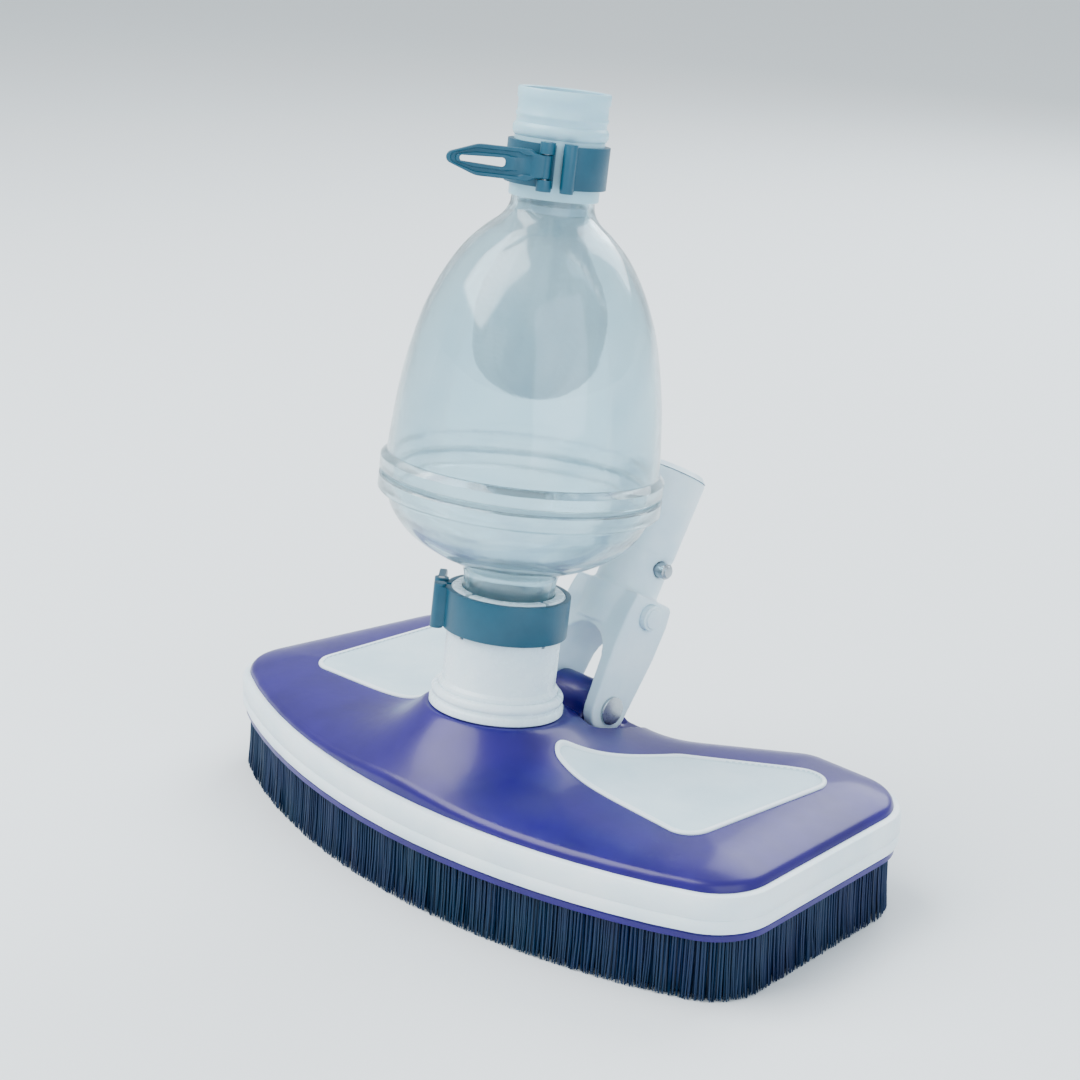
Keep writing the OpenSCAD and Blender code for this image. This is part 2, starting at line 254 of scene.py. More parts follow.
def loft(
    name: str, rings: Sequence[Sequence[Point3]], closed: bool = True, cap: bool = False, wrap: bool = False
) -> bpy.types.Object:
    """Skins a stack of rings that all have the same number of points.

    Args:
        name: the piece's name.
        rings: the rings, in millimetres.
        closed: whether each ring's end joins its start.
        cap: whether the first and last rings are filled.
        wrap: whether the last ring joins the first.

    Returns:
        The new object.
    """
    count = len(rings[0])
    verts = [p for ring in rings for p in ring]
    faces: list[list[int]] = []
    spans = count if closed else count - 1
    stack = len(rings) if wrap else len(rings) - 1
    for r in range(stack):
        low, high = r * count, ((r + 1) % len(rings)) * count
        for i in range(spans):
            j = (i + 1) % count
            faces.append([low + i, low + j, high + j, high + i])
    if cap:
        faces.append(list(range(count)))
        faces.append([(len(rings) - 1) * count + i for i in reversed(range(count))])
    return mesh_object(name, verts, faces)


def revolve(
    name: str,
    profile: Sequence[Point],
    place: Callable[[float, float, float], Point3],
    turns: int = 128,
    ripple: Optional[Callable[[float, float, float], float]] = None,
    closed: bool = True,
) -> bpy.types.Object:
    """Spins a profile round an axis.

    Args:
        name: the piece's name.
        profile: (radius, height) points, in millimetres.
        place: turns axis coordinates (x, y, height) into the row frame.
        turns: how many steps make the full turn.
        ripple: returns a change of radius for (radius, height, angle).
        closed: whether the profile's end joins its start.

    Returns:
        The new object.
    """
    rings: list[list[Point3]] = []
    for i in range(turns):
        angle = 2 * math.pi * i / turns
        ring = []
        for radius, height in profile:
            full = radius + (ripple(radius, height, angle) if ripple else 0.0)
            ring.append(place(full * math.cos(angle), full * math.sin(angle), height))
        rings.append(ring)
    return loft(name, rings, closed=closed, wrap=True)


def refined(name: str, node: str, bevel: float) -> bpy.types.Object:
    """Copies a CAD node's shape with its edges broken, as moulded edges are.

    Args:
        name: the new piece's name.
        node: the CAD node.
        bevel: width of the broken edge, in millimetres.

    Returns:
        The new object, which has yet to ride on a body.
    """
    mesh = frame["nodes"][node].data.copy()
    made = bmesh.new()
    made.from_mesh(mesh)
    bmesh.ops.remove_doubles(made, verts=made.verts, dist=1e-6)
    bmesh.ops.dissolve_limit(made, angle_limit=math.radians(1.0), verts=made.verts, edges=made.edges)
    made.to_mesh(mesh)
    made.free()
    mesh.materials.clear()
    item = bpy.data.objects.new(name, mesh)
    bpy.context.scene.collection.objects.link(item)
    soften = item.modifiers.new("broken_edges", "BEVEL")
    soften.width = bevel * MM
    soften.segments = 3
    soften.limit_method = "ANGLE"
    soften.angle_limit = math.radians(28)
    soften.use_clamp_overlap = True
    apply_modifiers(item)
    item.data.shade_smooth()
    item.data.set_sharp_from_angle(angle=math.radians(40))
    return item


def moulded(name: str, node: str, voxel: float, passes: int) -> bpy.types.Object:
    """Copies a CAD node's shape and rounds all of it, as a thick moulding is.

    Args:
        name: the new piece's name.
        node: the CAD node.
        voxel: grid size of the rebuilt surface, in millimetres.
        passes: rounds of smoothing.

    Returns:
        The new object, which has yet to ride on a body.
    """
    mesh = frame["nodes"][node].data.copy()
    mesh.materials.clear()
    item = bpy.data.objects.new(name, mesh)
    bpy.context.scene.collection.objects.link(item)
    rebuild = item.modifiers.new("rebuild", "REMESH")
    rebuild.mode = "VOXEL"
    rebuild.voxel_size = voxel * MM
    even = item.modifiers.new("even", "SMOOTH")
    even.factor = 0.5
    even.iterations = passes
    apply_modifiers(item)
    item.data.shade_smooth()
    return item


def apply_modifiers(item: bpy.types.Object) -> None:
    """Bakes an object's modifiers into its mesh.

    Args:
        item: the object.
    """
    bpy.context.view_layer.update()
    graph = bpy.context.evaluated_depsgraph_get()
    mesh = bpy.data.meshes.new_from_object(item.evaluated_get(graph))
    item.modifiers.clear()
    item.data = mesh


# ---- finishes --------------------------------------------------------------


def add_node(
    tree: bpy.types.NodeTree, kind: str, settings: Optional[dict] = None, links: Optional[dict] = None
) -> bpy.types.Node:
    """Adds one node with its settings and links.

    Args:
        tree: the material's node tree.
        kind: the node's type name.
        settings: attribute or input values, by name.
        links: the output socket that feeds each input, by input name.

    Returns:
        The new node.
    """
    made = tree.nodes.new(kind)
    for key, value in (settings or {}).items():
        if hasattr(made, key):
            setattr(made, key, value)
        else:
            made.inputs[key].default_value = value
    for key, source in (links or {}).items():
        tree.links.new(source, made.inputs[key])
    return made


class Texture(Enum):
    """How a moulded or drawn surface is broken up."""

    MOULDED = "moulded"
    GRAINED = "grained"
    BRUSHED = "brushed"
    STRANDS = "strands"
    WOVEN = "woven"
    CLEAR = "clear"


@dataclass(frozen=True)
class Finish:
    """A real material and how its surface was made.

    Sizes are in millimetres; colours are sRGB hex codes.
    """

    name: str
    colour: str
    shade: str
    roughness: float
    texture: Texture
    grain_mm: float
    relief_mm: float
    ior: float = 1.5
    metallic: float = 0.0
    coat: float = 0.0
    alpha: float = 1.0
    transmission: float = 0.0
    subsurface: float = 0.0

    def build(self) -> bpy.types.Material:
        """Makes the node material, once for each name.

        Returns:
            The Blender material.
        """
        known = bpy.data.materials.get(self.name)
        if known:
            return known
        made = bpy.data.materials.new(self.name)
        made.use_nodes = True
        tree = made.node_tree
        tree.nodes.clear()
        place = add_node(tree, "ShaderNodeTexCoord")
        fine = self._grain(tree, place.outputs["Object"])
        cloud = add_node(
            tree,
            "ShaderNodeTexNoise",
            {"Scale": 1.0 / (28.0 * MM), "Detail": 4.0, "Roughness": 0.55},
            {"Vector": place.outputs["Object"]},
        )
        mottle = add_node(
            tree,
            "ShaderNodeMapRange",
            {"From Min": 0.35, "From Max": 0.65, "To Min": 0.0, "To Max": 1.0},
            {"Value": cloud.outputs["Fac"]},
        )
        tint = add_node(tree, "ShaderNodeMix", {"data_type": "RGBA"})
        tint.inputs[6].default_value = linear(self.colour)
        tint.inputs[7].default_value = linear(self.shade)
        tree.links.new(mottle.outputs["Result"], tint.inputs[0])
        polish = add_node(
            tree,
            "ShaderNodeMapRange",
            {"To Min": max(self.roughness - 0.05, 0.02), "To Max": self.roughness + 0.07},
            {"Value": fine},
        )
        bump = add_node(
            tree,
            "ShaderNodeBump",
            {"Strength": 1.0, "Distance": self.relief_mm * MM},
            {"Height": fine},
        )
        shader = add_node(
            tree,
            "ShaderNodeBsdfPrincipled",
            {
                "Metallic": self.metallic,
                "IOR": self.ior,
                "Coat Weight": self.coat,
                "Coat Roughness": 0.08,
                "Alpha": self.alpha,
                "Transmission Weight": self.transmission,
                "Subsurface Weight": self.subsurface,
                "Subsurface Scale": 2.0 * MM,
            },
            {
                "Base Color": tint.outputs[2],
                "Roughness": polish.outputs["Result"],
                "Normal": bump.outputs["Normal"],
            },
        )
        add_node(tree, "ShaderNodeOutputMaterial", None, {"Surface": shader.outputs["BSDF"]})
        return made

    def _grain(self, tree: bpy.types.NodeTree, place: bpy.types.NodeSocket) -> bpy.types.NodeSocket:
        """Adds the fine pattern of the surface.

        Args:
            tree: the material's node tree.
            place: object coordinates, in metres.

        Returns:
            The pattern's value, from 0 to 1.
        """
        scale = 1.0 / (self.grain_mm * MM)
        if self.texture in (Texture.BRUSHED, Texture.STRANDS):
            stretch = (1.0, 1.0, 0.06) if self.texture is Texture.STRANDS else (0.05, 1.0, 1.0)
            drawn = add_node(tree, "ShaderNodeMapping", {"Scale": stretch}, {"Vector": place})
            place = drawn.outputs["Vector"]
        if self.texture is Texture.WOVEN:
            bands = scale / math.tau
            warp = add_node(
                tree, "ShaderNodeTexWave", {"Scale": bands, "bands_direction": "Z"}, {"Vector": place}
            )
            weft = add_node(
                tree, "ShaderNodeTexWave", {"Scale": bands, "bands_direction": "DIAGONAL"}, {"Vector": place}
            )
            both = add_node(
                tree, "ShaderNodeMath", {"operation": "MULTIPLY"}, {0: warp.outputs["Fac"], 1: weft.outputs["Fac"]}
            )
            return both.outputs["Value"]
        noise = add_node(
            tree, "ShaderNodeTexNoise", {"Scale": scale, "Detail": 3.0, "Roughness": 0.6}, {"Vector": place}
        )
        return noise.outputs["Fac"]


# Cover: glossy ABS from a polished mould; deep violet-blue, faint flow marks
COVER_ABS = Finish("abs_violet_polished", "2d1c78", "27186a", 0.3, Texture.MOULDED, 5.0, 0.02, 1.53, coat=0.12)
# Window inserts: white ABS with a satin sheen
WINDOW_ABS = Finish("abs_white_satin", "e8f3f8", "dbeaf1", 0.3, Texture.MOULDED, 3.0, 0.02, 1.53, subsurface=0.05)
# Window panels: the same ABS with an etched grain and a rougher surface, coloured greyer than its rim
PANEL_ABS = Finish("abs_white_etched", "cfe2ea", "c0d8e2", 0.46, Texture.GRAINED, 1.4, 0.06, 1.53)
# Bumper: soft white TPE, slightly matt so that its highlight is broad
BUMPER_TPE = Finish("tpe_white_soft", "eaf4f8", "dcebf2", 0.36, Texture.GRAINED, 0.9, 0.03, 1.5, subsurface=0.08)
# Base plate: dark navy polypropylene with a fine spark-eroded grain
BASE_PP = Finish("polypropylene_navy_grained", "17204a", "121a3e", 0.5, Texture.GRAINED, 0.8, 0.05, 1.49)
# Bristles: extruded nylon, dark navy with a slight teal glint along each strand
BRISTLE_NYLON = Finish("nylon_bristle_navy", "11284f", "0d3350", 0.42, Texture.STRANDS, 1.2, 0.03, 1.53)
# Spigot, collar and cuff fittings: white polypropylene, semi-gloss
SPIGOT_PP = Finish(
    "polypropylene_white_gloss", "e3f0f6", "d3e6ef", 0.26, Texture.MOULDED, 4.0, 0.02, 1.49, subsurface=0.05
)
# Yoke: white ABS, thick moulding with a satin surface
YOKE_ABS = Finish("abs_white_thick", "dcecf3", "cbe1ec", 0.32, Texture.MOULDED, 4.0, 0.03, 1.53, subsurface=0.05)
# Trap: clear PET with the slight haze of a blown shell
TRAP_PET = Finish(
    "pet_clear_blue", "e0f3f9", "d5edf5", 0.07, Texture.CLEAR, 7.0, 0.05, 1.57, alpha=0.9, transmission=0.92
)
# Clamps: grey-teal nylon with a light grain
CLAMP_NYLON = Finish("nylon_grey_teal", "2f6076", "275367", 0.38, Texture.GRAINED, 1.0, 0.03, 1.53)
# Pins, screws and springs: drawn stainless steel
STEEL = Finish("stainless_drawn", "c3c9cd", "aab2b8", 0.28, Texture.BRUSHED, 0.7, 0.01, metallic=1.0)
# Neck seal: black nitrile rubber
SEAL_NBR = Finish("nitrile_black", "1d2326", "171b1e", 0.6, Texture.GRAINED, 0.7, 0.03, 1.52)
# Seam seal: translucent silicone, which shows only as a pale line round the trap
SEAL_SILICONE = Finish("silicone_translucent", "d3ecf4", "c2e2ed", 0.35, Texture.GRAINED, 0.8, 0.02, 1.41, alpha=0.85)
# Ballast: cast iron dipped in grey paint
BALLAST_IRON = Finish("cast_iron_dipped", "62686c", "50565a", 0.55, Texture.GRAINED, 1.6, 0.12, 1.5)
# Bag: fine white nylon mesh; its threads are drawn coarser than the real 0.3 mm so that they show
BAG_MESH = Finish("nylon_mesh_white", "f6fbfd", "e6f1f6", 0.7, Texture.WOVEN, 1.1, 0.2, 1.53, alpha=0.72)
# Hose cuff: translucent soft PVC
CUFF_PVC = Finish(
    "pvc_soft_translucent", "bfe4f0", "aed9e8", 0.3, Texture.MOULDED, 3.0, 0.05, 1.53, alpha=0.82, subsurface=0.1
)


def dress(item: bpy.types.Object, finish: Finish) -> None:
    """Gives an object a finish as its only material.

    Args:
        item: the object.
        finish: the finish.
    """
    item.data.materials.clear()
    item.data.materials.append(finish.build())
    for face in item.data.polygons:
        face.material_index = 0


def settle(item: bpy.types.Object, body: str, slot: str, finish: Finish, *nodes: str) -> bpy.types.Object:
    """Finishes a new piece: material, body, and the CAD nodes it stands for.

    Args:
        item: the piece.
        body: the body it rides on.
        slot: the record's material slot; not used.
        finish: its finish.
        nodes: the CAD nodes that it stands for.

    Returns:
        The same piece.
    """
    dress(item, finish)
    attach(item, body)
    if nodes:
        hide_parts(*nodes)
    LOG.info("%s: %d faces on %s", item.name, len(item.data.polygons), body)
    return item


def dress_nodes(finish: Finish, *nodes: str) -> None:
    """Gives CAD nodes that stay as they are a better material.

    Args:
        finish: the finish.
        nodes: the nodes' names.
    """
    for node in nodes:
        dress(frame["nodes"][node], finish)
        LOG.info("%s: CAD shape, new finish", node)


# ---- head ------------------------------------------------------------------


@dataclass
class Head:
    """The wide head: cover, window inserts, bumper, base and bristle skirt. Sizes in millimetres."""

    half: float = 137.0
    front: float = 77.0
    back: float = 68.0
    waist: float = 36.0
    wing_x: float = 84.0
    front_arc: float = 290.0
    corner: float = 23.0
    hollow: float = 30.0
    wall_top: float = 41.0
    boss_top: float = 62.0
    spigot_y: float = -26.0
    tilt_deg: float = 6.0
    pivot_y: float = 19.0
    pivot_z: float = 54.0
    hole_r: float = 20.2
    ceiling: float = 41.5
    wall: float = 4.5
    roof_rings: int = 92
    lug_r: float = 9.0
    lug_mid: float = 50.0
    bumper_end: float = 87.0
    bristle_r: float = 0.36
    brush_split: float = 98.6
    outline: list[Point] = field(default_factory=list)

    def __post_init__(self) -> None:
        """Draws the plan and its normals."""
        centre = self.front_arc - self.front
        right: list[tuple[float, float, float]] = []
        for i in range(9):
            x = 112.0 * i / 8
            right.append((x, centre - math.sqrt(self.front_arc**2 - x * x), 0.0))
        edge_x = self.half + 1.6
        right.append((edge_x, centre - math.sqrt(self.front_arc**2 - edge_x**2), self.corner))
        right.append((self.half - 9, self.back, self.corner))
        right.append((self.wing_x - 5, self.back, self.hollow * 0.5))
        right.append((self.waist, self.waist, self.hollow))
        left = [(-x, y, r) for x, y, r in reversed(right) if x > 0]
        self.outline = resample(fillet(right + left), 1.6)
        self.normals = normals_of(self.outline)

    def ring(self, out: float, z: float) -> list[Point3]:
        """Returns the plan pushed outwards by out, at height z."""
        return [(p[0] + n[0] * out, p[1] + n[1] * out, z) for p, n in zip(self.outline, self.normals)]

    def edge_distance(self, x: float, y: float) -> float:
        """Measures how far a point inside the plan is from the plan's edge.

        Args:
            x: place across the head.
            y: place along the head's depth.

        Returns:
            The distance, or 0 outside the plan.
        """
        near = min(range(len(self.outline)), key=lambda i: math.dist(self.outline[i], (x, y)))
        ax, ay = self.outline[near]
        nx, ny = self.normals[near]
        return max(0.0, -((x - ax) * nx + (y - ay) * ny))

    def roof(self, x: float, y: float) -> float:
        """Returns the height of the cover's surface.

        Args:
            x: place across the head.
            y: place along the head's depth.

        Returns:
            The height above the floor.
        """
        d = self.edge_distance(x, y)
        nose = min(d / 2.4, 1.0)
        height = self.wall_top + 2.4 * math.sqrt(max(0.0, 1 - (1 - nose) ** 2)) + 5.2 * (1 - math.exp(-d / 12.0))
        slope = math.tan(math.radians(self.tilt_deg))
        top = self.boss_top - (y - self.spigot_y) * slope
        away = math.hypot(x, y - self.spigot_y) - 27.0
        weight = 1.0 if away <= 0 else math.exp(-((away / 12.5) ** 1.25))
        height += (top - height) * weight
        hump = math.exp(-((x / 17.0) ** 4)) * smoothstep(40.0, 20.0, y) * smoothstep(-20.0, 2.0, y)
        height += (max(height, 51.0) - height) * hump
        well = smoothstep(9.5, 11.6, abs(x)) * smoothstep(22.5, 19.0, abs(x)) * smoothstep(3.0, 9.0, y)
        return height + (min(height, 42.8) - height) * well

    def hole(self, point: Point, z: Optional[float] = None) -> Point3:
        """Returns the place on the spigot's hole that faces a point of the plan.

        Args:
            point: a point of the plan.
            z: the height, or None for the top of the boss.

        Returns:
            The place on the hole's edge.
        """
        slope = math.tan(math.radians(self.tilt_deg))
        level = self.boss_top if z is None else z
        middle = Vector((0.0, self.spigot_y + (level - self.boss_top) * slope))
        spot = middle + (Vector(point) - middle).normalized() * self.hole_r
        return spot.x, spot.y, self.boss_top - (spot.y - self.spigot_y) * slope if z is None else z

    def cover(self) -> bpy.types.Object:
        """Builds the domed cover as a hollow shell with a hole for the spigot.

        Returns:
            The cover.
        """
        lip = [(-self.wall, 23.1), (0.9, 23.1), (1.5, 23.5), (1.5, 25.5), (1.0, 26.0), (-1.2, 26.1)]
        profile = [*lip, (-1.2, self.wall_top - 0.2), (-0.3, self.wall_top)]
        rings = [self.ring(out, z) for out, z in profile]
        for k in range(self.roof_rings):
            t = (k / self.roof_rings) ** 1.25
            ring = []
            for p in self.outline:
                x, y = Vector(p).lerp(Vector(self.hole(p)[:2]), t)
                ring.append((x, y, self.roof(x, y)))
            rings.append(ring)
        rings.append([self.hole(p) for p in self.outline])
        rings.append([self.hole(p, self.ceiling) for p in self.outline])
        rings.append(self.ring(-self.wall, self.ceiling))
        return loft("cover_shell", rings, wrap=True)

    def hinge_boss(self) -> bpy.types.Object:
        """Builds the rounded lug that the yoke's pin goes through.

        Returns:
            The lug.
        """
        side: list[Point] = [(-15.0, 44.0), (-12.0, 50.0), (-9.4, 53.0)]
        side += [
            (self.lug_r * math.cos(math.radians(a)), self.pivot_z + self.lug_r * math.sin(math.radians(a)))
            for a in range(180, -1, -12)
        ]
        side += [(9.6, 50.0), (11.5, 45.0), (13.0, 41.0), (-15.0, 41.0)]
        rings = []
        for x, pull in ((-10.9, 0.9), (-10.4, 0.25), (-9.6, 0.0), (9.6, 0.0), (10.4, 0.25), (10.9, 0.9)):
            ring = []
            for y, z in side:
                rise = z - self.lug_mid
                shrink = 1 - pull / max(math.hypot(y, rise), 1.0)
                ring.append((x, self.pivot_y + y * shrink, self.lug_mid + rise * shrink))
            rings.append(ring)
        return loft("hinge_lug", rings, cap=True)

    def window_outline(self, side: int, pitch: float = 1.2) -> list[Point]:
        """Returns the rounded triangle of a window insert.

        Args:
            side: 1 on the right, -1 on the left.
            pitch: distance between points.

        Returns:
            Its points, anticlockwise.
        """
        discs = ((39.0, -23.0, 6.5), (97.0, -22.0, 10.0), (98.0, 37.0, 10.0), (63.0, 11.0, 11.0))
        cloud = [
            (cx + r * math.cos(math.radians(a)), cy + r * math.sin(math.radians(a)))
            for cx, cy, r in discs
            for a in range(0, 360, 6)
        ]
        cloud.sort()
        hull: list[Point] = []
        for points in (cloud, cloud[::-1]):
            start = len(hull)
            for p in points:
                while len(hull) - start >= 2:
                    a, b = hull[-2], hull[-1]
                    if (b[0] - a[0]) * (p[1] - a[1]) - (b[1] - a[1]) * (p[0] - a[0]) > 0:
                        break
                    hull.pop()
                hull.append(p)
            hull.pop()
        if side < 0:
            hull = [(-x, y) for x, y in reversed(hull)]
        return resample(hull, pitch)

    def window(self, side: int) -> bpy.types.Object:
        """Builds a window insert: a raised bright rim round a slightly sunken panel.

        Args:
            side: 1 on the right, -1 on the left.

        Returns:
            The insert.
        """
        outline = self.window_outline(side)
        normals = normals_of(outline)
        middle = Vector((side * 78.0, 1.0))
        steps = [(0.0, 0.45), (0.3, 0.85), (0.8, 1.1), (1.3, 1.1), (1.8, 0.85), (2.0, 0.35), (2.4, 0.2)]
        rings: list[list[Point3]] = [[(x, y, 46.0) for x, y in outline]]
        for inset, lift in steps:
            ring = []
            for p, n in zip(outline, normals):
                x, y = p[0] - n[0] * inset, p[1] - n[1] * inset
                ring.append((x, y, self.roof(x, y) + lift))
            rings.append(ring)
        base = [Vector(v[:2]) for v in rings[-1]]
        for k in range(1, 22):
            t = k / 22
            ring = []
            for p in base:
                x, y = p.lerp(middle, t)
                ring.append((x, y, self.roof(x, y) + 0.2))
            rings.append(ring)
        return loft("window_insert_right" if side > 0 else "window_insert_left", rings, cap=True)

    def etch(self, item: bpy.types.Object, side: int) -> None:
        """Gives the panel inside a window's rim its etched finish.

        Args:
            item: the window insert.
            side: 1 on the right, -1 on the left.
        """
        item.data.materials.append(PANEL_ABS.build())
        outline = self.window_outline(side, 2.4)
        for face in item.data.polygons:
            x, y = face.center.x / MM, face.center.y / MM
            if min((x - px) ** 2 + (y - py) ** 2 for px, py in outline) > 2.1**2 and face.normal.z > 0:
                face.material_index = 1

    def bumper(self) -> bpy.types.Object:
        """Builds the soft strip from one wing's rear corner round the front to the other's.

        Returns:
            The strip.
        """
        count = len(self.outline)
        rear = [i for i, p in enumerate(self.outline) if p[1] > 60.0]
        first = min(rear, key=lambda i: abs(self.outline[i][0] + self.bumper_end))
        last = min(rear, key=lambda i: abs(self.outline[i][0] - self.bumper_end))
        chain = [first + i for i in range((last - first) % count + 1)]
        profile = [(-1.1, 26.2), (1.4, 26.2), (2.3, 26.7), (2.85, 27.9), (3.0, 29.6), (3.0, 31.6), (2.72, 32.0)]
        profile += [(3.0, 32.4), (3.0, 37.8), (2.85, 39.2), (2.3, 40.4), (1.4, 40.9), (-1.1, 40.9)]
        rings = []
        for k, i in enumerate(chain):
            near = min(k, len(chain) - 1 - k) * 1.6
            full = math.sqrt(max(0.0, 1 - (1 - min(near / 3.2, 1.0)) ** 2))
            p, n = self.outline[i % count], self.normals[i % count]
            ring = []
            for out, z in profile:
                push = -1.1 + (out + 1.1) * max(full, 0.12)
                tall = 33.6 + (z - 33.6) * (0.86 + 0.14 * full)
                ring.append((p[0] + n[0] * push, p[1] + n[1] * push, tall))
            rings.append(ring)
        return loft("bumper_strip", rings, cap=True)

    def brush(self, name: str, keep: Callable[[float, float], bool], seed: int) -> bpy.types.Object:
        """Builds one length of the bristle skirt: a dense core inside rows of single bristles.

        Args:
            name: the piece's name.
            keep: whether a place on the plan belongs to this length.
            seed: seed of the bristles' small differences.

        Returns:
            The new object.
        """
        dice = random.Random(seed)
        verts: list[Point3] = []
        faces: list[list[int]] = []
        track = resample(self.outline, 0.8)
        normals = normals_of(track)
        wanted = [i for i, p in enumerate(track) if keep(*p)]
        rows = [(-0.7, 22.7, 1.2), (-1.5, 22.4, 0.9), (-2.5, 17.9, 0.5)]
        rows += [(-4.4, 17.9, 0.2), (-6.6, 17.9, -0.3), (-9.2, 17.9, -0.9)]
        for depth, top, splay in rows:
            for i in wanted:
                p, n = track[i], normals[i]
                along = (-n[1], n[0])
                shift = dice.uniform(-0.35, 0.35)
                root = (p[0] + n[0] * depth + along[0] * shift, p[1] + n[1] * depth + along[1] * shift)
                lean_out = splay + dice.uniform(-0.35, 0.35)
                lean_side = dice.uniform(-0.7, 0.7)
                foot = dice.uniform(0.0, 0.7)
                base = len(verts)
                for level, width in ((0.0, 1.0), (0.55, 0.95), (1.0, 0.7)):
                    bend = level**1.7
                    cx = root[0] + n[0] * lean_out * bend + along[0] * lean_side * bend
                    cy = root[1] + n[1] * lean_out * bend + along[1] * lean_side * bend
                    cz = top + (foot - top) * level
                    for k in range(3):
                        angle = math.tau / 3 * k + i
                        reach = self.bristle_r * width
                        verts.append((cx + reach * math.cos(angle), cy + reach * math.sin(angle), cz))
                for part in range(2):
                    for k in range(3):
                        a, b = base + part * 3 + k, base + part * 3 + (k + 1) % 3
                        faces.append([a, b, b + 3, a + 3])
                faces.append([base + 2, base + 1, base])
                faces.append([base + 6, base + 7, base + 8])
        core_verts, core_faces = self._core(wanted, track, normals, len(verts))
        return mesh_object(name, verts + core_verts, faces + core_faces)

    def _core(
        self, wanted: list[int], track: list[Point], normals: list[Point], base: int
    ) -> tuple[list[Point3], list[list[int]]]:
        """Builds the packed bristles behind the outer rows.

        Args:
            wanted: the numbers of the track's points in this length.
            track: the skirt's outline.
            normals: the outline's normals.
            base: how many points the mesh has already.

        Returns:
            The points and the faces.
        """
        gaps = [k for k in range(1, len(wanted)) if wanted[k] - wanted[k - 1] > 1]
        chain = wanted[gaps[0] :] + wanted[: gaps[0]] if gaps else wanted
        profile = ((-1.9, 17.9), (-2.2, 8.0), (-2.6, 1.2), (-9.0, 1.4), (-9.4, 17.9))
        verts: list[Point3] = []
        faces: list[list[int]] = []
        for i in chain:
            p, n = track[i], normals[i]
            verts += [(p[0] + n[0] * o, p[1] + n[1] * o, z) for o, z in profile]
        size = len(profile)
        for k in range(len(chain) - 1):
            for j in range(size):
                a, b = base + k * size + j, base + k * size + (j + 1) % size
                faces.append([a, b, b + size, a + size])
        faces.append([base + j for j in range(size)])
        faces.append([base + (len(chain) - 1) * size + j for j in reversed(range(size))])
        return verts, faces

    def build(self) -> None:
        """Builds and dresses the whole head."""
        settle(self.cover(), "head", "cover_plastic", COVER_ABS, "top_cover")
        settle(self.hinge_boss(), "head", "cover_plastic", COVER_ABS)
        for side, word in ((1, "right"), (-1, "left")):
            insert = settle(self.window(side), "head", "window_plastic", WINDOW_ABS, f"window_{word}")
            self.etch(insert, side)
        settle(self.bumper(), "head", "bumper_rubber", BUMPER_TPE, "bumper")
        split = self.brush_split
        parts: dict[str, Callable[[float, float], bool]] = {
            "front": lambda x, y: abs(x) < split and y < 0,
            "back": lambda x, y: abs(x) < split and y > 0,
            "left": lambda x, y: x < -split,
            "right": lambda x, y: x > split,
        }
        for seed, (word, keep) in enumerate(parts.items()):
            piece = self.brush(f"bristles_{word}", keep, 40 + seed)
            settle(piece, "head", "bristle", BRISTLE_NYLON, f"brush_{word}")
        dress_nodes(BASE_PP, "base_plate", "suction_duct")
        dress_nodes(BALLAST_IRON, "ballast_left", "ballast_right")
        dress_nodes(STEEL, "cover_screws")


# ---- spigot and trap -------------------------------------------------------


